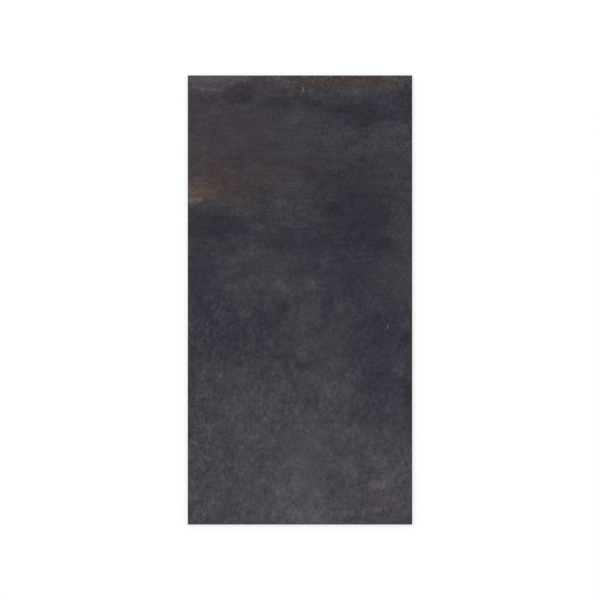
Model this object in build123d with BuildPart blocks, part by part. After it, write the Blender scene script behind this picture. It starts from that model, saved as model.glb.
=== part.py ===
"""A rectified porcelain floor tile, pressed and fired as one piece.

The tile lies on its back. The origin is at the middle of the back, on the plane of the ribs
that it rests on, with +X across the tile, +Y along it and +Z out of the walking face.
"""

import os

from build123d import *

# The tile as ground to size, in millimetres
tile_width = 600.0
tile_length = 1200.0
tile_thickness = 9.5

# The bevels that the grinding wheels leave round the face and round the back
face_bevel = 0.7
back_bevel = 0.4

# The keyed back: a lattice of raised ribs that grips the adhesive, inside a plain margin
back_margin = 15.0
rib_pitch = 30.0
rib_crest_width = 3.0
rib_height = 0.5
rib_flank_angle = 30.0


def cells_along(tile_side):
    """How many recesses fit between the margins of a side, and their pitch once they fill it."""
    field = tile_side - 2 * back_margin
    count = max(1, round((field + rib_crest_width) / rib_pitch))
    return count, (field + rib_crest_width) / count


cells_across, pitch_across = cells_along(tile_width)
cells_lengthwise, pitch_lengthwise = cells_along(tile_length)
cell_width = pitch_across - rib_crest_width
cell_length = pitch_lengthwise - rib_crest_width

# One recess between the ribs, wide at its mouth on the back and narrowed by the ribs' flanks
with BuildPart() as recess:
    with BuildSketch(Plane.XY):
        Rectangle(cell_width, cell_length)
    extrude(amount=rib_height, taper=rib_flank_angle)

# The tile: a slab with ground bevels, and the recesses pressed into its back
with BuildPart() as tile:
    with BuildSketch(Plane.XY):
        Rectangle(tile_width, tile_length)
    extrude(amount=tile_thickness)
    chamfer(faces().sort_by(Axis.Z)[-1].edges(), length=face_bevel)
    chamfer(faces().sort_by(Axis.Z)[0].edges(), length=back_bevel)
    with GridLocations(pitch_across, pitch_lengthwise, cells_across, cells_lengthwise):
        add(recess.part, mode=Mode.SUBTRACT, clean=False)

tile.part.label = "tile"

os.makedirs("parts", exist_ok=True)
export_step(tile.part, "parts/tile.step")

print("recesses", cells_across, "by", cells_lengthwise)
print("volume in litres", round(tile.part.volume / 1e6, 3))
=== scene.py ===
import math
from collections import namedtuple

import bpy
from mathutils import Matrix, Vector, noise


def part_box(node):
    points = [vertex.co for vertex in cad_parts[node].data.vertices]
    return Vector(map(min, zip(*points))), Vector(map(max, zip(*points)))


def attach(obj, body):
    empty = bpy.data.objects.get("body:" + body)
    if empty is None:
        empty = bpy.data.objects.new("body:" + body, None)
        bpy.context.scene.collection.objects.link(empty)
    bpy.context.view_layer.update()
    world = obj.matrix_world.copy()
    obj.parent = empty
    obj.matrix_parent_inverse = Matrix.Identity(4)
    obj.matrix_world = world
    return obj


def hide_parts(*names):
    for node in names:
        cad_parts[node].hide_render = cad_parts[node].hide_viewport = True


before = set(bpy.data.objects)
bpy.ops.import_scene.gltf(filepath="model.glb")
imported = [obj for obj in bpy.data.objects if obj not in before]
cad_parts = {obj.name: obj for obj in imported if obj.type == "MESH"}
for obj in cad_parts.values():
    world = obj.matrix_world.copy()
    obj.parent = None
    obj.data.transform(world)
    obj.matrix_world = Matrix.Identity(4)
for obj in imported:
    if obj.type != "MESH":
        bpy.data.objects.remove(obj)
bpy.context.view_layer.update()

mm = 0.001

# The tile as the frame gives it, in metres: its middle over the origin, its back at height zero
tile_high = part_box("tile")[1]
half_width = tile_high.x
half_length = tile_high.y
face_height = tile_high.z

# The photograph is square, and shows the face square on, this wide
picture_side_px = 600.0
tile_width_px = 224.7

lens_mm = 85.0
sensor_mm = 36.0


def place_camera():
    """Looks straight down on the face, from as far off as makes it as wide as in the photograph."""
    view_width = 2 * half_width * picture_side_px / tile_width_px
    camera = bpy.data.objects.new("camera", bpy.data.cameras.new("camera"))
    camera.data.lens = lens_mm
    camera.data.sensor_width = sensor_mm
    camera.location = (0, 0, face_height + view_width * lens_mm / sensor_mm)
    bpy.context.scene.collection.objects.link(camera)
    bpy.context.scene.camera = camera


place_camera()

# The keyed back: a plain margin, and ribs at an even pitch in the field inside it
back_margin = 15 * mm
rib_pitch = 30 * mm
rib_crest_width = 3 * mm
rib_height = 0.5 * mm
recess_corner_radius = 2.2 * mm
points_on_a_corner = 4

# The section of a rib from its crest down to the floor of the recess: how far in from the
# recess's mouth each line lies, and how deep
rib_flank = [
    (-0.10 * mm, 0.0),
    (0.04 * mm, 0.09 * mm),
    (0.22 * mm, 0.40 * mm),
    (0.42 * mm, rib_height),
]

# The section of the rim from the face down to the back: how far in from the ground side each
# line lies, how high, and what share of a nibble the grinding wheel has left on it
rim_section = [
    (0.95 * mm, face_height, 0.0),
    (0.74 * mm, face_height - 0.01 * mm, 1.0),
    (0.62 * mm, face_height - 0.08 * mm, 1.0),
    (0.08 * mm, face_height - 0.62 * mm, 0.0),
    (0.0, face_height - 0.78 * mm, 0.0),
    (0.0, face_height / 2, 0.0),
    (0.0, 0.48 * mm, 0.0),
    (0.06 * mm, 0.34 * mm, 0.0),
    (0.34 * mm, 0.06 * mm, 0.6),
    (0.50 * mm, 0.0, 0.0),
]
face_inset = rim_section[0][0]

# How deep and how long the wheel's nibbles are, and the slice of the noise that they come from
nibble_depth = 0.10 * mm
nibble_size = 9 * mm
nibble_slice = 0.5

# The fired face dips a little below its highest plane: by half of this depth, and by more or
# less in waves that are given by their size and their share. The dip fades out at the rim
relief_depth = 0.12 * mm
relief_middle = 0.5
relief_waves = [(140 * mm, 0.5), (52 * mm, 0.3), (21 * mm, 0.2)]
relief_fade = 8 * mm

# How finely the face's grid is cut between two ribs of the back, and in the margin
grid_steps_per_rib = 6
grid_steps_in_margin = 3


def cells_along(side):
    """How many recesses fit between the margins of a side, and their pitch once they fill it."""
    field = side - 2 * back_margin
    count = max(1, round((field + rib_crest_width) / rib_pitch))
    return count, (field + rib_crest_width) / count


cells_across, pitch_across = cells_along(2 * half_width)
cells_lengthwise, pitch_lengthwise = cells_along(2 * half_length)


def rib_lines(cells, pitch):
    """The middles of the ribs across one side."""
    return [pitch * (i - cells / 2) for i in range(cells + 1)]


def grid_lines(half_side, cells, pitch):
    """The lines of the face's grid between its rims, in step with the ribs of the back."""
    field = cells * pitch / 2
    margin = half_side - face_inset - field
    steps = cells * grid_steps_per_rib
    inner = [pitch * (i / grid_steps_per_rib - cells / 2) for i in range(steps + 1)]
    outer = [field + margin * i / grid_steps_in_margin for i in range(1, grid_steps_in_margin)]
    return [-s for s in reversed(outer)] + inner + outer


lines_across = grid_lines(half_width, cells_across, pitch_across)
lines_lengthwise = grid_lines(half_length, cells_lengthwise, pitch_lengthwise)
ribs_across = rib_lines(cells_across, pitch_across)
ribs_lengthwise = rib_lines(cells_lengthwise, pitch_lengthwise)


def face_dip(x, y):
    """How far the face lies below its highest plane at a point, nothing at the rim."""
    waves = sum(share * noise.noise((x / size, y / size, size)) for size, share in relief_waves)
    to_rim = min(half_width - abs(x), half_length - abs(y))
    fade = min(1.0, to_rim / relief_fade)
    return relief_depth * fade * max(0.0, relief_middle + waves)


def nibble(x, y):
    """How far the grinding wheel has bitten into an arris at a point of the rim."""
    bite = noise.noise((x / nibble_size, y / nibble_size, nibble_slice))
    return nibble_depth * max(0.0, bite)


def side_starts():
    """The numbers of the first points of a rim line's near, right, far and left sides."""
    right = len(lines_across) + 1
    far = right + len(lines_lengthwise) + 1
    left = far + len(lines_across) + 1
    return 0, right, far, left


def rim_line(inset, height, nibbled):
    """The points of one line round the tile, anticlockwise from its near left corner."""
    x, y = half_width - inset, half_length - inset

    def bitten(px, py, side_x, side_y):
        bite = nibbled * nibble(px, py)
        return px - side_x * bite, py - side_y * bite, height

    near = [bitten(-x, -y, -1, -1)] + [bitten(s, -y, 0, -1) for s in lines_across]
    right = [bitten(x, -y, 1, -1)] + [bitten(x, s, 1, 0) for s in lines_lengthwise]
    far = [bitten(x, y, 1, 1)] + [bitten(s, y, 0, 1) for s in reversed(lines_across)]
    left = [bitten(-x, y, -1, 1)] + [bitten(-x, s, -1, 0) for s in reversed(lines_lengthwise)]
    return near + right + far + left


# How the skin unrolls into one square map: the face and the back side by side, the long sides
# between them and the short sides above them. A point is unrolled by its place and by how far
# down the rim's section it lies
map_scale = 0.77
map_gap = 0.006
map_side_strip = 0.016
map_face_width = 2 * half_width * map_scale
map_face_length = 2 * half_length * map_scale
map_right_strip = map_gap + map_face_width + map_gap
map_left_strip = map_right_strip + map_side_strip + map_gap
map_back = map_left_strip + map_side_strip + map_gap
map_short_strips = map_gap + map_face_length + map_gap


def map_from_left(point):
    return (point[0] + half_width) * map_scale


def map_from_right(point):
    return (half_width - point[0]) * map_scale


def map_upwards(point):
    return map_gap + (point[1] + half_length) * map_scale


def map_short_strip(down):
    return map_short_strips + map_side_strip * (1 - down)


def unroll_face(point, down):
    return map_gap + map_from_left(point), map_upwards(point)


def unroll_back(point, down):
    return map_back + map_from_right(point), map_upwards(point)


def unroll_near(point, down):
    return map_gap + map_from_left(point), map_short_strip(down)


def unroll_far(point, down):
    return map_back + map_from_right(point), map_short_strip(down)


def unroll_right(point, down):
    return map_right_strip + map_side_strip * down, map_upwards(point)


def unroll_left(point, down):
    return map_left_strip + map_side_strip * (1 - down), map_upwards(point)


# The places of the three finishes in the tile's list of materials
FACE, BODY, BACK = 0, 1, 2


class Skin:
    """The closed skin of the tile, gathered point by point before it becomes a mesh."""

    def __init__(self):
        self.points = []
        self.down = []
        self.faces = []
        self.finishes = []
        self.smooth = []
        self.unrolled = []

    def add_points(self, places, down=0.0):
        """Adds points and gives their numbers. down is how far round the rim's section they lie."""
        first = len(self.points)
        self.points.extend(places)
        self.down.extend([down] * len(places))
        return list(range(first, len(self.points)))

    def add_face(self, corners, finish, unroll, smooth=True):
        """Adds a face between the points with the given numbers."""
        self.faces.append(corners)
        self.finishes.append(finish)
        self.smooth.append(smooth)
        for c in corners:
            self.unrolled.extend(unroll(self.points[c], self.down[c]))


def add_walking_face(skin):
    """The face's grid, and the numbers of the points along its rim, anticlockwise."""
    x_rim = half_width - face_inset
    y_rim = half_length - face_inset
    xs = [-x_rim] + lines_across + [x_rim]
    ys = [-y_rim] + lines_lengthwise + [y_rim]
    inner = {(i, j) for i in range(1, len(xs) - 1) for j in range(1, len(ys) - 1)}
    rows = []
    for j, y in enumerate(ys):
        dips = [face_dip(x, y) if (i, j) in inner else 0.0 for i, x in enumerate(xs)]
        rows.append(skin.add_points([(x, y, face_height - dip) for x, dip in zip(xs, dips)]))
    for lower, upper in zip(rows, rows[1:]):
        for i in range(len(xs) - 1):
            skin.add_face([lower[i], lower[i + 1], upper[i + 1], upper[i]], FACE, unroll_face)
    near = rows[0][:-1]
    right = [row[-1] for row in rows[:-1]]
    far = rows[-1][:0:-1]
    left = [row[0] for row in rows[:0:-1]]
    return near + right + far + left


def add_sides(skin, rim):
    """The bevels and the ground sides, from the face's rim down to the back's, which it gives."""
    lengths = [math.dist(a[:2], b[:2]) for a, b in zip(rim_section, rim_section[1:])]
    total = sum(lengths)
    near, right, far, left = side_starts()
    unrolls = [unroll_near] * (right - near) + [unroll_right] * (far - right)
    unrolls += [unroll_far] * (left - far) + [unroll_left] * (len(rim) - left)
    gone = 0.0
    for (inset, height, nibbled), length in zip(rim_section[1:], lengths):
        gone += length
        lower = skin.add_points(rim_line(inset, height, nibbled), gone / total)
        for i, unroll in enumerate(unrolls):
            k = (i + 1) % len(rim)
            skin.add_face([rim[i], lower[i], lower[k], rim[k]], BODY, unroll)
        rim = lower
    return rim


def recess_line(cx, cy, half_x, half_y, inset, depth):
    """One line round a recess, anticlockwise seen from above, starting at its near left corner."""
    hx, hy = half_x - inset, half_y - inset
    radius = recess_corner_radius - inset
    points = []
    for corner, (sx, sy) in enumerate([(-1, -1), (1, -1), (1, 1), (-1, 1)]):
        for step in range(points_on_a_corner):
            angle = math.radians(180 + 90 * corner + 90 * step / (points_on_a_corner - 1))
            px = cx + sx * (hx - radius) + radius * math.cos(angle)
            py = cy + sy * (hy - radius) + radius * math.sin(angle)
            points.append((px, py, depth))
    return points


def add_recess(skin, corners, cx, cy):
    """One recess of the back: the crests round its mouth, the ribs' flanks and its floor."""
    half_x = (pitch_across - rib_crest_width) / 2
    half_y = (pitch_lengthwise - rib_crest_width) / 2
    line = skin.add_points(recess_line(cx, cy, half_x, half_y, *rib_flank[0]))
    for c in range(4):
        first = c * points_on_a_corner
        arc = line[first:first + points_on_a_corner]
        following = line[(first + points_on_a_corner) % len(line)]
        skin.add_face([corners[c]] + arc, BACK, unroll_back, smooth=False)
        beside = corners[(c + 1) % 4]
        skin.add_face([corners[c], arc[-1], following, beside], BACK, unroll_back, smooth=False)
    for inset, depth in rib_flank[1:]:
        deeper = skin.add_points(recess_line(cx, cy, half_x, half_y, inset, depth))
        for i in range(len(line)):
            k = (i + 1) % len(line)
            skin.add_face([line[i], deeper[i], deeper[k], line[k]], BACK, unroll_back)
        line = deeper
    skin.add_face(line[::-1], BACK, unroll_back, smooth=False)


def add_margin(skin, rim, lattice):
    """The plain margin between the rim of the back and the outer ribs."""
    first = grid_steps_in_margin
    step = grid_steps_per_rib
    near_ribs = [row[0] for row in lattice]
    right_ribs = lattice[-1]
    far_ribs = [row[-1] for row in reversed(lattice)]
    left_ribs = lattice[0][::-1]
    for start, ribs in zip(side_starts(), [near_ribs, right_ribs, far_ribs, left_ribs]):
        for i, (a, b) in enumerate(zip(ribs, ribs[1:])):
            begin = start + first + i * step
            edge = rim[begin:begin + step + 1]
            skin.add_face([a, b] + edge[::-1], BACK, unroll_back, smooth=False)
        corner = [rim[k % len(rim)] for k in range(start - first, start + first + 1)]
        skin.add_face([ribs[0]] + corner[::-1], BACK, unroll_back, smooth=False)


def add_keyed_back(skin, rim):
    """The plain margin and the lattice of ribs with the recesses between them."""
    lattice = [skin.add_points([(x, y, 0.0) for y in ribs_lengthwise]) for x in ribs_across]
    add_margin(skin, rim, lattice)
    for i in range(cells_across):
        for j in range(cells_lengthwise):
            corners = [lattice[i][j], lattice[i + 1][j], lattice[i + 1][j + 1], lattice[i][j + 1]]
            cx = (ribs_across[i] + ribs_across[i + 1]) / 2
            cy = (ribs_lengthwise[j] + ribs_lengthwise[j + 1]) / 2
            add_recess(skin, corners, cx, cy)


def make_tile(finishes):
    """The tile as one closed mesh, in the place of the CAD solid."""
    skin = Skin()
    face_rim = add_walking_face(skin)
    back_rim = add_sides(skin, face_rim)
    add_keyed_back(skin, back_rim)
    mesh = bpy.data.meshes.new("porcelain_tile")
    mesh.from_pydata(skin.points, [], skin.faces)
    for finish in finishes:
        mesh.materials.append(finish)
    mesh.polygons.foreach_set("material_index", skin.finishes)
    mesh.polygons.foreach_set("use_smooth", skin.smooth)
    unrolled = mesh.uv_layers.new(name="OFBake")
    unrolled.data.foreach_set("uv", skin.unrolled)
    mesh.update()
    tile = bpy.data.objects.new("porcelain_tile", mesh)
    bpy.context.scene.collection.objects.link(tile)
    return tile


class Tree:
    """A node tree that is being filled, with short names for the nodes in use here."""

    def __init__(self, tree):
        self.tree = tree

    def add(self, kind, inputs=(), **settings):
        """A new node with its settings made and its inputs fed."""
        node = self.tree.nodes.new(kind)
        for name, value in settings.items():
            setattr(node, name, value)
        for socket, value in dict(inputs).items():
            self.feed(node.inputs[socket], value)
        return node

    def feed(self, socket, value):
        """Feeds a socket with another node's output, or sets it to a plain value."""
        if isinstance(value, bpy.types.NodeSocket):
            self.tree.links.new(value, socket)
        else:
            socket.default_value = value

    def calc(self, operation, a, b=0.0, c=0.0):
        return self.add("ShaderNodeMath", {0: a, 1: b, 2: c}, operation=operation).outputs[0]

    def vector(self, operation, a, b=(0.0, 0.0, 0.0)):
        return self.add("ShaderNodeVectorMath", {0: a, 1: b}, operation=operation).outputs[0]

    def noise(self, point, size, detail, roughness=0.5, distortion=0.0, output=0):
        """Soft noise whose lumps are about size metres across."""
        inputs = {
            "Vector": point,
            "Scale": 1 / size,
            "Detail": detail,
            "Roughness": roughness,
            "Distortion": distortion,
        }
        return self.add("ShaderNodeTexNoise", inputs).outputs[output]

    def noise_vector(self, point, size, detail):
        """Such noise in three directions at once, each swinging about nought."""
        return self.vector("SUBTRACT", self.noise(point, size, detail, output=1), (0.5, 0.5, 0.5))

    def swing(self, value, contrast):
        """How far a noise lies from its middle, times a contrast."""
        return self.calc("MULTIPLY", self.calc("SUBTRACT", value, 0.5), contrast)

    def ease(self, value, start, end, low=0.0, high=1.0):
        """Goes smoothly from low to high as value goes from start to end."""
        inputs = {"Value": value, "From Min": start, "From Max": end, "To Min": low, "To Max": high}
        return self.add("ShaderNodeMapRange", inputs, interpolation_type="SMOOTHSTEP").outputs[0]

    def blend(self, share, first, second):
        """A number that goes from first to second as share goes from nothing to one."""
        return self.add("ShaderNodeMix", {0: share, 2: first, 3: second}, data_type="FLOAT").outputs[0]

    def lay(self, cover, under, over):
        """One colour laid over another, as thickly as cover says."""
        return self.add("ShaderNodeMix", {0: cover, 6: under, 7: over}, data_type="RGBA").outputs[2]

    def shade(self, colour, tone):
        """A colour made lighter or darker by a tone about one."""
        return self.add("ShaderNodeVectorMath", {0: colour, "Scale": tone}, operation="SCALE").outputs[0]

    def place(self, group, inputs, label=""):
        """A node that places a group in this tree."""
        return self.add("ShaderNodeGroup", inputs, node_tree=group, label=label)


def new_group(name, inputs, outputs):
    """An empty node group with its sockets, and the tree to fill."""
    group = bpy.data.node_groups.new(name, "ShaderNodeTree")
    for socket, (kind, value) in inputs.items():
        made = group.interface.new_socket(name=socket, in_out="INPUT", socket_type=kind)
        if value is not None:
            made.default_value = value
    for socket, kind in outputs.items():
        group.interface.new_socket(name=socket, in_out="OUTPUT", socket_type=kind)
    tree = Tree(group)
    return group, tree, tree.add("NodeGroupInput").outputs, tree.add("NodeGroupOutput").inputs


NUMBER, VECTOR = "NodeSocketFloat", "NodeSocketVector"


def make_soft_cloud():
    """A rounded patch with a soft, frayed edge: how thickly it covers each point."""
    sockets = {
        "Point": (VECTOR, None),
        "Fray": (NUMBER, 0.5),
        "Middle": (VECTOR, None),
        "Reach": (VECTOR, None),
        "Turn": (NUMBER, 0.0),
        "Edge": (NUMBER, 0.6),
        "Ragged": (NUMBER, 0.6),
        "Strength": (NUMBER, 1.0),
    }
    group, t, given, out = new_group("soft_cloud", sockets, {"Cover": NUMBER})
    away = t.vector("SUBTRACT", given["Point"], given["Middle"])
    turning = {"Vector": away, "Angle": given["Turn"]}
    turned = t.add("ShaderNodeVectorRotate", turning, rotation_type="Z_AXIS").outputs[0]
    scaled = t.vector("DIVIDE", turned, given["Reach"])
    distance = t.add("ShaderNodeVectorMath", {0: scaled}, operation="LENGTH").outputs["Value"]
    frayed = t.calc("ADD", distance, t.swing(given["Fray"], given["Ragged"]))
    inner = t.calc("SUBTRACT", 1.0, given["Edge"])
    cover = t.ease(frayed, inner, 1.0, low=1.0, high=0.0)
    t.feed(out["Cover"], t.calc("MULTIPLY", cover, given["Strength"]))
    return group


def make_mineral_grain():
    """The fine grain of fired clay and feldspar: a tone about one, and a height."""
    sockets = {"Point": (VECTOR, None), "Size": (NUMBER, 0.002), "Contrast": (NUMBER, 0.3)}
    group, t, given, out = new_group("mineral_grain", sockets, {"Tone": NUMBER, "Height": NUMBER})
    scale = t.calc("DIVIDE", 1.0, given["Size"])
    lumps = t.add("ShaderNodeTexNoise", {"Vector": given["Point"], "Scale": scale, "Detail": 2.0})
    height = lumps.outputs[0]
    t.feed(out["Tone"], t.calc("ADD", t.swing(height, given["Contrast"]), 1.0))
    t.feed(out["Height"], height)
    return group


largest_wear = 64 * mm


def make_weathering():
    """Wear of every size from a hand down to sand, each about as strong, swinging about nought."""
    sockets = {"Point": (VECTOR, None), "Stretch": (VECTOR, None), "Contrast": (NUMBER, 1.0)}
    group, t, given, out = new_group("weathering", sockets, {"Swing": NUMBER, "Height": NUMBER})
    stretched = t.vector("MULTIPLY", given["Point"], given["Stretch"])
    wear = t.noise(stretched, largest_wear, detail=7.0, roughness=1.0)
    t.feed(out["Swing"], t.swing(wear, given["Contrast"]))
    t.feed(out["Height"], wear)
    return group


speck_softness = 0.08


def make_scattered_specks():
    """Separate specks, thinly scattered: how thickly they cover each point."""
    sockets = {"Point": (VECTOR, None), "Size": (NUMBER, 0.003), "Bar": (NUMBER, 0.64)}
    group, t, given, out = new_group("scattered_specks", sockets, {"Cover": NUMBER})
    scale = t.calc("DIVIDE", 1.0, given["Size"])
    lumps = t.add("ShaderNodeTexNoise", {"Vector": given["Point"], "Scale": scale, "Detail": 1.0})
    full = t.calc("ADD", given["Bar"], speck_softness)
    t.feed(out["Cover"], t.ease(lumps.outputs[0], given["Bar"], full))
    return group


soft_cloud = make_soft_cloud()
mineral_grain = make_mineral_grain()
weathering = make_weathering()
scattered_specks = make_scattered_specks()

# What the matt surface reflects of a pale room adds this to every colour seen on it
surface_haze = 0.0065


def linear(value):
    """A display value from 0 to 255 as an amount of light."""
    share = value / 255
    return share / 12.92 if share <= 0.04045 else ((share + 0.055) / 1.055) ** 2.4


def ink(red, green, blue):
    """A colour given as it is seen on the tile, less the haze that the surface adds."""
    return tuple(max(0.0, linear(v) - surface_haze) for v in (red, green, blue)) + (1.0,)


# The inks of the print, as they are seen on the fired face
slate = ink(60, 59, 66.5)
pale_slate = ink(63, 62, 69.6)
graphite = ink(71, 70, 76.5)
pale_graphite = ink(88, 87, 92.5)
blue_black = ink(43, 43, 52)
blue_grey = ink(50, 50, 59.5)
violet_grey = ink(51.5, 49.5, 59.5)
mauve_brown = ink(64, 58, 64)
dark_mauve = ink(53, 48, 54)
rust = ink(72, 60, 57.5)
glowing_rust = ink(93, 79, 72)
rose_haze = ink(72, 65, 69)
cream = ink(87, 81, 82)
peach = ink(98, 86, 80)
green_grey = ink(64, 64, 68)
rose_grey = ink(79, 73, 79.5)
straw = ink(94, 87, 89)
warm_grey = ink(64, 62, 67)
olive = ink(72, 67, 66)
pale_cream = ink(84, 80, 80)
bare_pale = ink(112, 110, 113)

# A patch of the print or of its wear: where its middle lies from the middle of the face, and how
# far it reaches, in millimetres; how thickly it covers; its ink, if it has one of its own; how
# much of its reach is a soft edge, and how ragged that is; and its turn in degrees
Patch = namedtuple(
    "Patch",
    "name x y reach_x reach_y strength ink edge ragged turn",
    defaults=[None, 0.9, 2.0, 0],
)

# The clouds of the print, in the order in which they are laid over each other
clouds = [
    # The grey lower part, its glow, and the grey that reaches up from it
    Patch("lower graphite", 0, -700, 1200, 620, 1.0, graphite, edge=0.35, ragged=0.8),
    Patch("bottom glow", 5, -570, 180, 180, 0.7, pale_graphite, edge=1.0),
    Patch("glow's plume", 20, -415, 60, 130, 0.45, pale_graphite, edge=1.0),
    Patch("grey column", 0, -80, 100, 180, 0.35, graphite),
    Patch("grey mottle", -100, 60, 170, 80, 0.22, graphite, edge=0.8, ragged=2.2),
    # The grey and the mauve of the upper part
    Patch("grey veil", -10, 460, 100, 80, 0.6, green_grey),
    Patch("right pale smoke", 200, 410, 140, 50, 0.65, pale_slate),
    Patch("mauve field", -240, 480, 250, 160, 0.9, mauve_brown, edge=0.7, ragged=1.6),
    Patch("mauve foot", -100, 330, 170, 90, 0.9, mauve_brown, edge=0.8),
    Patch("mauve shade", 50, 350, 80, 55, 0.8, dark_mauve),
    Patch("mauve dusk", -180, 375, 150, 40, 0.5, dark_mauve),
    Patch("small mauve dusk", -80, 425, 50, 30, 0.6, dark_mauve),
    Patch("grey sill", -40, 270, 80, 30, 0.5, pale_slate),
    # The dark belt across the tile, and the dark field at its right end
    Patch("dark belt", 0, 155, 320, 60, 0.6, blue_black),
    Patch("right dark field", 150, 230, 160, 170, 0.85, blue_black, edge=0.8, ragged=1.6),
    Patch("right dark shoulder", 170, 350, 120, 60, 0.35, blue_black),
    Patch("right dark core", 140, 250, 70, 70, 0.6, blue_black),
    Patch("right dark foot", 190, 150, 85, 70, 0.85, blue_black),
    Patch("right dark root", 130, 55, 110, 90, 0.9, blue_grey),
    Patch("belt's foot", 20, 85, 80, 30, 0.65, blue_grey),
    Patch("right strip", 290, 260, 60, 200, 0.9, slate, edge=0.5, ragged=0.8),
    Patch("violet shelf", -20, 165, 160, 35, 0.75, violet_grey, ragged=2.4),
    Patch("violet blot", -55, 160, 40, 20, 0.7, violet_grey, ragged=2.4),
    # The smoke at the upper right
    Patch("upper right smoke", 180, 500, 200, 55, 0.65, blue_black, ragged=2.6),
    Patch("smoke's upper bar", 120, 510, 60, 18, 0.8, blue_black, ragged=2.6),
    Patch("smoke's left knot", 105, 485, 30, 20, 0.5, blue_black, ragged=2.6),
    Patch("smoke's right knot", 215, 490, 50, 26, 0.6, blue_black, ragged=2.6),
    Patch("smoke's right end", 285, 540, 70, 70, 0.6, blue_black),
    Patch("top middle shade", 30, 522, 50, 26, 1.0, blue_black),
    # The blue and violet fields of the middle
    Patch("left dark field", -270, 30, 100, 130, 0.8, blue_grey, ragged=1.8),
    Patch("left blue field", -180, -80, 180, 130, 0.6, blue_grey, edge=0.8, ragged=1.8),
    Patch("right blue field", 220, -150, 120, 210, 0.8, violet_grey, edge=0.8, ragged=1.8),
    Patch("right warm column", 280, 80, 60, 100, 0.8, warm_grey, edge=0.8, ragged=1.6),
    Patch("right low shade", 190, -200, 50, 70, 0.4, blue_grey),
    Patch("right low veil", 220, -305, 130, 70, 0.55, violet_grey),
    Patch("right edge light", 260, -175, 50, 30, 0.8, pale_slate),
    Patch("right edge knot", 285, -110, 40, 45, 0.7, blue_black),
    Patch("right blue knot", 200, -60, 60, 40, 0.6, blue_black, ragged=2.4),
    Patch("right edge shade", 300, -280, 30, 120, 0.6, blue_black),
    # The rust at the left edge, and the dark band under it
    Patch("rust field", -250, 320, 170, 80, 0.7, rust, edge=0.7),
    Patch("rust tail", -150, 275, 100, 30, 0.45, rust),
    Patch("rust veil", -95, 330, 60, 80, 0.22, rust),
    Patch("rust glow", -290, 295, 100, 42, 0.75, glowing_rust, edge=0.8, ragged=1.8),
    Patch("rust gleam", -280, 275, 50, 13, 0.75, peach, ragged=1.6),
    Patch("rust brow", -280, 370, 80, 60, 0.35, rust),
    Patch("left dark band", -250, 197, 180, 60, 0.85, blue_black, edge=0.7, ragged=1.8),
    Patch("left slate", -250, 110, 100, 60, 0.9, blue_grey, ragged=1.8),
    Patch("dark band's foot", -280, 128, 60, 14, 0.8, dark_mauve),
    Patch("mauve seam", -150, 238, 100, 18, 0.7, mauve_brown),
    Patch("seam's shade", -120, 215, 100, 30, 0.5, blue_grey),
    Patch("grey step", -120, 125, 100, 30, 0.4, graphite),
    # The band along the top edge
    Patch("top haze", 60, 590, 340, 45, 0.8, rose_haze, edge=0.8, ragged=2.6),
    Patch("top rose wash", -40, 576, 70, 28, 0.9, rose_haze, ragged=2.4),
    Patch("rust top band", 110, 594, 320, 36, 0.75, rust, ragged=3.0),
    Patch("olive wash", -60, 597, 50, 14, 0.6, olive),
    Patch("top left bruise", -170, 560, 80, 36, 0.9, dark_mauve, turn=20),
    Patch("top left knot", -155, 541, 35, 22, 1.0, blue_black, ragged=1.2),
    Patch("dark stripe", -70, 528, 70, 16, 0.8, dark_mauve),
    Patch("rose smudge", -30, 562, 50, 30, 0.8, rose_haze),
    Patch("cream haze", -260, 582, 110, 35, 0.8, rose_grey, edge=0.7),
    Patch("cream corner", -235, 603, 170, 23, 0.85, pale_cream, edge=0.4, ragged=1.0, turn=2),
    Patch("cream end", -285, 597, 50, 22, 0.9, pale_cream, edge=0.6, ragged=1.0),
    Patch("cream scratch", -265, 566, 28, 7, 0.9, cream, ragged=1.2, turn=-10),
    Patch("short cream scratch", -220, 568, 14, 6, 0.8, cream, ragged=1.2, turn=10),
    # The rose and the straw at the lower right
    Patch("rose field", 170, -430, 130, 110, 0.5, rose_grey),
    Patch("rose foot", 230, -560, 110, 50, 0.7, rose_grey),
    Patch("straw patch", 210, -494, 65, 20, 0.85, straw, ragged=1.8),
    # Small marks in the middle, and the shade at the left edge
    Patch("pale streak", 30, 45, 45, 12, 0.25, pale_graphite, ragged=2.4, turn=20),
    Patch("pale wisp", 55, 28, 30, 10, 0.2, pale_graphite, ragged=2.4, turn=-8),
    Patch("pale hook", -45, 35, 40, 14, 0.4, pale_graphite, ragged=2.4, turn=-25),
    Patch("violet hollow", -60, -12, 30, 30, 0.6, violet_grey, ragged=2.4),
    Patch("violet thread", 80, -30, 35, 85, 0.85, violet_grey, ragged=1.8),
    Patch("dark blot", 10, -172, 40, 20, 1.0, blue_grey),
    Patch("dark thread", -70, -145, 70, 12, 0.7, blue_grey),
    Patch("low dark blot", 10, -275, 70, 32, 0.65, slate),
    Patch("left edge shade", -300, -260, 50, 150, 0.4, blue_grey),
]

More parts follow.
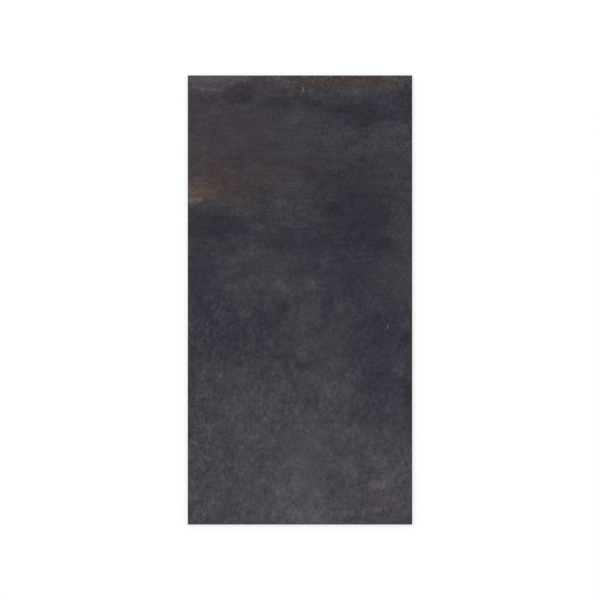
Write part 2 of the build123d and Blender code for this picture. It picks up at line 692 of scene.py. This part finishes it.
# Small pale and dark wisps within the clouds, from the top of the face down
pale_wisps = [
    Patch("in the top band", 240, 595, 30, 12, 0.3),
    Patch("in the olive wash", -65, 595, 30, 12, 0.4),
    Patch("at the cream end", -290, 590, 20, 12, 0.8),
    Patch("in the top middle", -30, 575, 30, 20, 0.32),
    Patch("under the top band", 140, 555, 32, 14, 0.3),
    Patch("in the grey veil", -20, 480, 30, 20, 0.26),
    Patch("under the smoke", 235, 450, 36, 16, 0.16),
    Patch("in the rust", -270, 320, 34, 20, 0.16),
    Patch("over the sill", -50, 260, 30, 16, 0.3),
    Patch("step on the left", -175, 110, 32, 16, 0.32),
    Patch("on the left", -180, 35, 28, 18, 0.28, ragged=2.4),
    Patch("by the hook", 30, 30, 28, 16, 0.3),
    Patch("in the mottle", -150, -40, 26, 20, 0.24, ragged=2.4),
    Patch("by the mottle", -140, -125, 34, 24, 0.2),
    Patch("over the blot", 5, -125, 24, 20, 0.16),
    Patch("by the column", 100, -175, 34, 26, 0.24),
    Patch("at the right edge", 265, -190, 28, 20, 0.26, ragged=2.4),
    Patch("below the mottle", -210, -195, 26, 22, 0.1, ragged=2.4),
    Patch("below the column", -50, -225, 34, 24, 0.34),
    Patch("by the low blot", 95, -325, 40, 24, 0.24),
    Patch("in the grey", -75, -375, 34, 28, 0.7),
    Patch("by the rose", 125, -425, 28, 24, 0.26),
    Patch("in the rose", 220, -435, 30, 26, 0.46),
    Patch("left of the plume", -105, -490, 26, 24, 0.55, ragged=1.6),
    Patch("by the glow", 45, -520, 44, 40, 0.34, ragged=1.0),
    Patch("at the lower left", -220, -540, 24, 20, 0.46),
    Patch("foot of the glow", 40, -570, 34, 26, 0.6, ragged=1.0),
    Patch("heart of the glow", 0, -570, 30, 24, 0.16, ragged=1.0),
    Patch("right foot", 275, -570, 24, 24, 0.4),
]
dark_wisps = [
    Patch("tail of the cream", -180, 565, 26, 12, 0.36),
    Patch("end of the cream", -270, 545, 34, 10, 0.34),
    Patch("in the top stripe", -45, 525, 38, 11, 0.38),
    Patch("in the upper bar", 130, 515, 30, 14, 0.32),
    Patch("in the right stripe", 20, 510, 30, 16, 0.36),
    Patch("in the right knot", 190, 500, 26, 16, 0.32),
    Patch("below the smoke", 175, 425, 26, 22, 0.24),
    Patch("in the mauve", 25, 420, 26, 20, 0.26),
    Patch("under the mauve", 25, 325, 34, 22, 0.28),
    Patch("edge of the field", 230, 215, 16, 34, 0.4),
    Patch("in the left belt", -270, 175, 28, 20, 0.32),
    Patch("foot of the left band", -205, 165, 36, 20, 0.34),
    Patch("corner of the field", 225, 150, 26, 26, 0.56),
    Patch("on the left", -155, 70, 30, 20, 0.4),
    Patch("in the thread", 80, -20, 24, 30, 0.28),
    Patch("in the hollow", -50, -25, 22, 18, 0.3),
    Patch("in the left field", -105, -40, 26, 22, 0.3),
    Patch("in the column", 35, -85, 36, 34, 0.26),
    Patch("heart of the edge knot", 290, -105, 22, 26, 0.55),
    Patch("heart of the blot", 5, -180, 26, 14, 0.3),
    Patch("in the lower left", -175, -235, 34, 34, 0.3),
    Patch("at the right edge", 290, -245, 26, 34, 0.62),
    Patch("in the lower middle", -25, -275, 26, 24, 0.16),
    Patch("by the column", 100, -275, 34, 24, 0.2),
    Patch("below the mottle", -255, -290, 22, 22, 0.4),
    Patch("under the low blot", 25, -325, 28, 24, 0.22),
    Patch("by the rose", 175, -330, 30, 28, 0.28),
    Patch("left edge", -300, -345, 18, 45, 0.8),
    Patch("over the straw", 190, -450, 22, 22, 0.38, ragged=1.6),
    Patch("at the lower left", -195, -455, 18, 20, 0.36),
    Patch("by the plume", 90, -470, 20, 20, 0.38),
    Patch("left of the straw", 145, -500, 24, 20, 0.34),
    Patch("under the straw", 180, -540, 50, 28, 0.26),
    Patch("lower left edge", -300, -565, 22, 45, 0.8),
    Patch("left side of the glow", -45, -575, 38, 26, 0.24),
]

# Where the print is coarser, grittier or calmer than elsewhere
coarse_patches = [
    Patch("top band", 0, 600, 500, 50, 0.1, edge=0.5, ragged=1.0),
    Patch("right edge", 310, 480, 60, 140, 0.3, edge=0.6, ragged=1.0),
    Patch("lower left", -340, -350, 220, 400, 0.5, edge=0.8, ragged=1.0),
    Patch("lower right", 310, -460, 110, 160, 0.35, edge=0.8, ragged=1.0),
    Patch("left mottle", -220, -90, 220, 130, 0.7, edge=0.8, ragged=1.0),
]
gritty_patches = [
    Patch("top band", 80, 610, 450, 65, 1.0, edge=0.5, ragged=1.0),
    Patch("right edge", 300, 460, 90, 140, 1.0, edge=0.7, ragged=1.0),
    Patch("upper right", 180, 480, 140, 110, 0.5, edge=0.8, ragged=1.0),
    Patch("top right corner", 300, 600, 100, 80, 1.7, edge=0.7, ragged=1.0),
    Patch("lower left", -340, -350, 220, 400, 0.3, edge=0.8, ragged=1.0),
]
calm_patches = [
    Patch("mauve", -120, 400, 280, 150, 0.6, edge=0.8, ragged=1.0),
    Patch("plume", 30, -470, 70, 170, 0.6, edge=0.8, ragged=1.0),
    Patch("right column", 270, 60, 70, 100, 0.3, edge=0.8, ragged=1.0),
]

# Bare pale flecks where the print has worn off
flecks = [
    Patch("upper bright scratch", -283, 572, 10, 2.5, 0.3, edge=0.8, ragged=0.6, turn=-14),
    Patch("cream scratch's bright end", -256, 563, 11, 3, 0.45, edge=0.8, ragged=0.6, turn=-6),
    Patch("pale smudge", 9, 562, 5, 8, 0.8, ragged=0.8),
    Patch("short bright scratch", -232, 562, 8, 3, 0.3, edge=0.8, ragged=0.6, turn=12),
    Patch("upper middle nick", -75, 504, 4, 4, 0.35, edge=0.8, ragged=0.6),
    Patch("right edge nick", 282, 414, 4, 5, 0.35, edge=0.8, ragged=0.6),
    Patch("round nick", 112, 334, 3.5, 3.5, 0.6, edge=0.8, ragged=0.6),
    Patch("upper left nick", -132, 240, 4, 3, 0.35, edge=0.8, ragged=0.6),
    Patch("belt nick", 171, 140, 4, 3, 0.4, edge=0.8, ragged=0.6),
    Patch("middle nick", -21, 12, 3, 6, 0.4, edge=0.8, ragged=0.6),
    Patch("long nick", 234.5, -71, 2.2, 8.5, 0.9, edge=0.7, ragged=0.4),
    Patch("lower nick", -90, -168, 6, 6, 0.25, ragged=0.8),
    Patch("worn foot of the glow", 45, -570, 18, 14, 0.3, ragged=0.8),
]


def cover_of(t, patch, point, fray):
    """How thickly a patch covers each point."""
    inputs = {
        "Point": point,
        "Fray": fray,
        "Middle": (patch.x * mm, patch.y * mm, face_height),
        "Reach": (patch.reach_x * mm, patch.reach_y * mm, 1.0),
        "Turn": math.radians(-patch.turn),
        "Edge": patch.edge,
        "Ragged": patch.ragged,
        "Strength": patch.strength,
    }
    return t.place(soft_cloud, inputs, patch.name).outputs["Cover"]


def widest_cover(t, patches, point, fray):
    """How thickly the thickest of some patches covers each point."""
    cover = 0.0
    for patch in patches:
        cover = t.calc("MAXIMUM", cover, cover_of(t, patch, point, fray))
    return cover


def lay_print(t, place, wavering, fray):
    """The print's colour: slate with the clouds on it, then the wisps, then the worn flecks."""
    colour = slate
    for cloud in clouds:
        colour = t.lay(cover_of(t, cloud, wavering, fray), colour, cloud.ink)
    colour = t.lay(widest_cover(t, pale_wisps, place, fray), colour, pale_graphite)
    colour = t.lay(widest_cover(t, dark_wisps, place, fray), colour, blue_black)
    return t.lay(widest_cover(t, flecks, place, fray), colour, bare_pale)


def new_material(name):
    """A material with an empty tree."""
    material = bpy.data.materials.new(name)
    material.use_nodes = True
    material.node_tree.nodes.clear()
    return material, Tree(material.node_tree)


def new_finish(name):
    """A material with a Principled shader on its surface."""
    material, t = new_material(name)
    shader = t.add("ShaderNodeBsdfPrincipled")
    output = t.add("ShaderNodeOutputMaterial")
    t.feed(output.inputs["Surface"], shader.outputs[0])
    return material, t, shader


def relief_of(t, marks, grain):
    """The height of a surface's marks with a little of its grain."""
    return t.calc("ADD", t.calc("MULTIPLY", marks, 0.7), t.calc("MULTIPLY", grain["Height"], 0.3))


def dress(t, shader, colour, roughness, relief, bump_strength, bump_depth, gloss):
    """Gives a finish's shader its colour, roughness, relief and gloss."""
    t.feed(shader.inputs["Base Color"], colour)
    t.feed(shader.inputs["Roughness"], roughness)
    bumps = {"Strength": bump_strength, "Distance": bump_depth, "Height": relief}
    t.feed(shader.inputs["Normal"], t.add("ShaderNodeBump", bumps).outputs[0])
    shader.inputs["Specular IOR Level"].default_value = gloss


# The print wavers in wide drifts and in small curls: their sizes, and how far they carry it
drift_size = 120 * mm
drift_reach = 60 * mm
curl_size = 22 * mm
curl_reach = 20 * mm

# The upper part of the face is brushed from side to side, and the lower part is blotched and
# worn upright. One gives way to the other between these places along the tile
brushed_above = 100 * mm
blotched_below = 0.0

# What each kind of wear does to the tone of the print. Of two values, the first holds for the
# upper part of the face and the second for the lower part
level_wear = {"Stretch": (0.65, 1.0, 1.0), "Contrast": 3.2}
upright_wear = {"Stretch": (1.0, 0.75, 1.0), "Contrast": 3.0}
wear_where_calm = 0.6
pebble_contrast = (1.6, 2.1)
stroke_contrast = (0.7, 0.0)
grit_contrast = 1.5
face_grain = {"Size": 3.2 * mm, "Contrast": 0.45}
face_specks = {"Size": 5 * mm, "Bar": 0.66}
speck_lift = 0.25
tooth_size = 0.5 * mm
tooth_contrast = 0.5
tooth_relief = 0.08

# The print's tint swings between these two, less so in the lower part
cool_tint = (0.98, 1.0, 1.02, 1.0)
warm_tint = (1.02, 1.0, 0.98, 1.0)
coolest_tint = (0.0, 0.35)
warmest_tint = (1.0, 0.65)

# How much of the tone's swing is plain grey
neutral_share = 0.5


def carried_off(t, place):
    """A place on the face, carried off a little, so that what is laid by it wavers."""
    drifted = t.shade(t.noise_vector(place, drift_size, detail=3.0), drift_reach)
    curled = t.shade(t.noise_vector(place, curl_size, detail=3.0), curl_reach)
    return t.vector("ADD", place, t.vector("ADD", drifted, curled))


def edge_fray(t, place, lower):
    """What frays the edges of the patches: brushed in the upper part, blotched in the lower."""
    sideways = t.vector("MULTIPLY", place, (0.3, 1.0, 1.0))
    brushed = t.noise(sideways, 26 * mm, detail=7.0, roughness=0.8)
    blotched = t.noise(place, 34 * mm, detail=7.0, roughness=0.8)
    return t.blend(lower, brushed, blotched)


def pebble_swing(t, place, lower, coarse):
    """The pebbled mottle of the print."""
    upright = t.vector("MULTIPLY", place, (1.0, 0.8, 1.0))
    pebble = t.noise(upright, 11 * mm, detail=4.0, roughness=0.7, distortion=0.8)
    return t.swing(pebble, t.calc("MULTIPLY", coarse, t.blend(lower, *pebble_contrast)))


def stroke_swing(t, place, lower):
    """Fine strokes from side to side."""
    sideways = t.vector("MULTIPLY", place, (0.08, 1.0, 1.0))
    strokes = t.noise(sideways, 4 * mm, detail=3.0, roughness=0.7)
    return t.swing(strokes, t.blend(lower, *stroke_contrast))


def grit_swing(t, place, gritty):
    """Grit of one even size, where the print is gritty."""
    grit = t.noise(place, 4.2 * mm, detail=0.0)
    return t.swing(grit, t.calc("MULTIPLY", gritty, grit_contrast))


def tinted(t, place, lower, colour):
    """The print's colour made a little warmer and cooler from place to place."""
    warmth = t.noise(place, 60 * mm, detail=2.0, roughness=0.6)
    coolest = t.blend(lower, *coolest_tint)
    warmest = t.blend(lower, *warmest_tint)
    warmed = t.ease(warmth, start=0.3, end=0.7, low=coolest, high=warmest)
    tint = t.lay(warmed, cool_tint, warm_tint)
    return t.vector("MULTIPLY", colour, tint)


def toned(t, colour, tone):
    """A colour made lighter or darker, partly in its own hue and partly in plain grey."""
    grey = t.add("ShaderNodeRGBToBW", {0: colour}).outputs[0]
    added = t.calc("MULTIPLY", grey, t.calc("SUBTRACT", tone, 1.0))
    return t.lay(neutral_share, t.shade(colour, tone), t.vector("ADD", colour, added))


def make_face_finish():
    """The printed, matt, oxidised-metal face."""
    material, t, shader = new_finish("oxidised_face")
    place = t.add("ShaderNodeTexCoord").outputs["Object"]
    wavering = carried_off(t, place)
    along = t.add("ShaderNodeSeparateXYZ", {0: wavering}).outputs[1]
    lower = t.ease(along, brushed_above, blotched_below)
    fray = edge_fray(t, place, lower)
    colour = lay_print(t, place, wavering, fray)

    lively = t.calc("SUBTRACT", 1.0, widest_cover(t, calm_patches, wavering, fray))
    coarse = t.calc("ADD", widest_cover(t, coarse_patches, wavering, fray), lively)
    gritty = widest_cover(t, gritty_patches, wavering, fray)

    level = t.place(weathering, {"Point": place, **level_wear}, "level wear").outputs
    upright = t.place(weathering, {"Point": place, **upright_wear}, "upright wear").outputs
    wear = t.blend(lower, level["Swing"], upright["Swing"])
    liveliness = t.calc("MULTIPLY_ADD", lively, 1 - wear_where_calm, wear_where_calm)
    worn_swing = t.calc("MULTIPLY", wear, liveliness)
    pebbled = t.calc("ADD", worn_swing, pebble_swing(t, place, lower, coarse))
    rubbed = t.calc("ADD", stroke_swing(t, place, lower), grit_swing(t, place, gritty))
    grain = t.place(mineral_grain, {"Point": place, **face_grain}).outputs
    tooth = t.noise(place, tooth_size, detail=2.0, roughness=0.6)
    specks = t.place(scattered_specks, {"Point": place, **face_specks}).outputs["Cover"]
    tone = t.calc("MULTIPLY", t.calc("EXPONENT", t.calc("ADD", pebbled, rubbed)), grain["Tone"])
    toothed = t.calc("MULTIPLY_ADD", tooth, tooth_contrast, 1 - tooth_contrast / 2)
    tone = t.calc("MULTIPLY", tone, toothed)
    tone = t.calc("ADD", tone, t.calc("MULTIPLY", specks, speck_lift))

    worn = t.blend(lower, level["Height"], upright["Height"])
    dress(
        t, shader,
        colour=toned(t, tinted(t, place, lower, colour), tone),
        roughness=t.ease(worn, start=0.35, end=0.65, low=0.44, high=0.62),
        relief=t.calc("MULTIPLY_ADD", tooth, tooth_relief, relief_of(t, worn, grain)),
        bump_strength=1.0,
        bump_depth=0.7 * mm,
        gloss=0.17,
    )
    return material


# The clay of the body, its specks, and the chalky wash that keeps it from sticking in the kiln
body_grey = ink(98, 95, 97)
body_dark = ink(62, 60, 64)
body_pale = ink(146, 143, 142)
kiln_wash = ink(170, 167, 162)

# The bevel of the face is paler than the ground sides, and turns so between these heights
# That paleness is partly finer grinding and chips, and partly a painted highlight along the arris
bevel_foot = face_height - 0.76 * mm
bevel_middle = face_height - 0.60 * mm

# The kiln wash lies full on the back's crests, and fades out between these depths
wash_full_depth = 0.02 * mm
wash_gone_depth = 0.20 * mm


def body_colour(t, place):
    """The coloured clay of the body, with darker and paler specks in it."""
    specks = t.noise(place, 1.1 * mm, detail=2.0, roughness=0.6)
    dark = t.calc("MULTIPLY", t.ease(specks, start=0.40, end=0.30), 0.7)
    pale = t.calc("MULTIPLY", t.ease(specks, start=0.63, end=0.72), 0.6)
    return t.lay(pale, t.lay(dark, body_grey, body_dark), body_pale)


def make_body_finish():
    """The ground sides and bevels, where the bare body shows, palest on the bevels: chips and painted
    highlight.
    """
    material, t, shader = new_finish("ground_body")
    place = t.add("ShaderNodeTexCoord").outputs["Object"]
    colour = body_colour(t, place)
    height = t.add("ShaderNodeSeparateXYZ", {0: place}).outputs[2]
    # Pale laid on the face's bevels: partly their chips and finer grinding, partly a painted highlight
    # on the arris
    bevel_paleness_and_highlight = t.ease(height, bevel_foot, bevel_middle)
    chips = t.noise(place, 0.7 * mm, detail=3.0, roughness=0.7)
    chipped = t.ease(chips, start=0.30, end=0.70, high=0.8)
    colour = t.lay(t.calc("MULTIPLY", bevel_paleness_and_highlight, chipped), colour, body_pale)
    sideways = t.vector("MULTIPLY", place, (0.02, 0.02, 1.0))
    marks = t.noise(sideways, 0.35 * mm, detail=2.0, roughness=0.6)
    grain = t.place(mineral_grain, {"Point": place, "Size": 1.5 * mm, "Contrast": 0.25}).outputs
    tone = t.calc("ADD", grain["Tone"], t.swing(marks, 0.7))
    dress(
        t, shader,
        colour=t.shade(colour, tone),
        roughness=t.ease(marks, start=0.3, end=0.7, low=0.50, high=0.72),
        relief=relief_of(t, marks, grain),
        bump_strength=0.8,
        bump_depth=0.10 * mm,
        gloss=0.2,
    )
    return material


def make_back_finish():
    """The pressed back: bare body, with traces of kiln wash on the margin and the ribs' crests."""
    material, t, shader = new_finish("pressed_back")
    place = t.add("ShaderNodeTexCoord").outputs["Object"]
    colour = body_colour(t, place)
    patches = t.noise(place, 60 * mm, detail=4.0, roughness=0.6)
    powder = t.noise(place, 2.0 * mm, detail=3.0, roughness=0.7)
    height = t.add("ShaderNodeSeparateXYZ", {0: place}).outputs[2]
    crest = t.ease(height, wash_gone_depth, wash_full_depth)
    brushed_on = t.ease(patches, start=0.35, end=0.60, low=0.35, high=0.85)
    left_on = t.ease(powder, start=0.30, end=0.55, low=0.3)
    washed = t.calc("MULTIPLY", brushed_on, left_on)
    colour = t.lay(t.calc("MULTIPLY", crest, washed), colour, kiln_wash)
    grain = t.place(mineral_grain, {"Point": place, "Size": 1.8 * mm, "Contrast": 0.35}).outputs
    tone = t.calc("ADD", grain["Tone"], t.swing(patches, 0.5))
    dress(
        t, shader,
        colour=t.shade(colour, tone),
        roughness=t.ease(powder, start=0.3, end=0.7, low=0.78, high=0.9),
        relief=grain["Height"],
        bump_strength=0.6,
        bump_depth=0.12 * mm,
        gloss=0.2,
    )
    return material


tile = make_tile([make_face_finish(), make_body_finish(), make_back_finish()])
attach(tile, "root")
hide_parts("tile")

# The studio floor, its own white and the white that the eye sees. It glows a little to the eye,
# and more far off, where less lamplight reaches it
floor_half_side = 30.0
floor_gap = 0.2 * mm
floor_white = (0.8, 0.8, 0.8, 1.0)
floor_seen_white = (0.4, 0.4, 0.4, 1.0)
glow_under_lamps = 0.67
glow_far_off = 0.87
lamplight_reach = (1.5, 9.0)


def seen_by_eye(t, rays):
    """One for the rays that show a surface to the eye, straight or by way of a gloss or a glass."""
    mirrored = t.calc("MAXIMUM", rays["Is Glossy Ray"], rays["Is Transmission Ray"])
    return t.calc("MAXIMUM", rays["Is Camera Ray"], mirrored)


def make_floor_finish():
    """White to the eye but for the tile's soft shadow, and open to light and sight from below."""
    material, t = new_material("studio_floor")
    rays = t.add("ShaderNodeLightPath").outputs
    seen = seen_by_eye(t, rays)
    place = t.add("ShaderNodeTexCoord").outputs["Object"]
    distance = t.add("ShaderNodeVectorMath", {0: place}, operation="LENGTH").outputs["Value"]
    strength = t.ease(distance, *lamplight_reach, glow_under_lamps, glow_far_off)
    lit = t.add("ShaderNodeBsdfDiffuse", {"Color": floor_white}).outputs[0]
    seen_lit = t.add("ShaderNodeBsdfDiffuse", {"Color": floor_seen_white}).outputs[0]
    glow = t.add("ShaderNodeEmission", {"Strength": strength}).outputs[0]
    seen_floor = t.add("ShaderNodeAddShader", {0: seen_lit, 1: glow}).outputs[0]
    floor = t.add("ShaderNodeMixShader", {0: seen, 1: lit, 2: seen_floor}).outputs[0]
    behind = t.add("ShaderNodeNewGeometry").outputs["Backfacing"]
    open_to = t.calc("MAXIMUM", behind, rays["Is Shadow Ray"])
    clear = t.add("ShaderNodeBsdfTransparent").outputs[0]
    whole = t.add("ShaderNodeMixShader", {0: open_to, 1: floor, 2: clear}).outputs[0]
    t.feed(t.add("ShaderNodeOutputMaterial").inputs["Surface"], whole)
    return material


def make_floor():
    """A wide plain floor just under the tile."""
    s = floor_half_side
    corners = [(-s, -s, -floor_gap), (s, -s, -floor_gap), (s, s, -floor_gap), (-s, s, -floor_gap)]
    mesh = bpy.data.meshes.new("floor")
    mesh.from_pydata(corners, [], [(0, 1, 2, 3)])
    mesh.materials.append(make_floor_finish())
    floor = bpy.data.objects.new("floor", mesh)
    bpy.context.scene.collection.objects.link(floor)


def add_softbox(name, place, side, watts):
    """A square soft lamp that looks at the middle of the tile."""
    light = bpy.data.lights.new(name, "AREA")
    light.shape = "SQUARE"
    light.size = side
    light.energy = watts
    lamp = bpy.data.objects.new(name, light)
    lamp.location = place
    lamp.rotation_euler = Vector(place).to_track_quat("Z", "Y").to_euler()
    lamp.visible_camera = False
    bpy.context.scene.collection.objects.link(lamp)


# The strength of the room's light, near the horizon and straight up
room_at_horizon = 0.8
room_overhead = 0.32
room_white = (1.0, 1.0, 1.0, 1.0)


def make_world():
    """A pale room that is darker overhead, and plain white to the eye."""
    world = bpy.data.worlds.new("studio")
    world.use_nodes = True
    world.node_tree.nodes.clear()
    t = Tree(world.node_tree)
    direction = t.add("ShaderNodeTexCoord").outputs["Generated"]
    up = t.add("ShaderNodeSeparateXYZ", {0: direction}).outputs[2]
    room = t.ease(up, 0.1, 1.0, room_at_horizon, room_overhead)
    seen = seen_by_eye(t, t.add("ShaderNodeLightPath").outputs)
    strength = t.blend(seen, room, 1.0)
    background = t.add("ShaderNodeBackground", {"Color": room_white, "Strength": strength}).outputs[0]
    t.feed(t.add("ShaderNodeOutputWorld").inputs["Surface"], background)
    bpy.context.scene.world = world


make_floor()
make_world()
add_softbox("key_light", place=(-5.2, 2.8, 5.6), side=3.2, watts=192)
add_softbox("fill_light", place=(5.6, -2.4, 5.6), side=3.2, watts=117)
add_softbox("far_light", place=(1.2, 6.8, 5.2), side=3.2, watts=91)
add_softbox("light_below", place=(0.8, -1.0, -3.0), side=1.6, watts=110)

bpy.context.scene.view_settings.view_transform = "Standard"
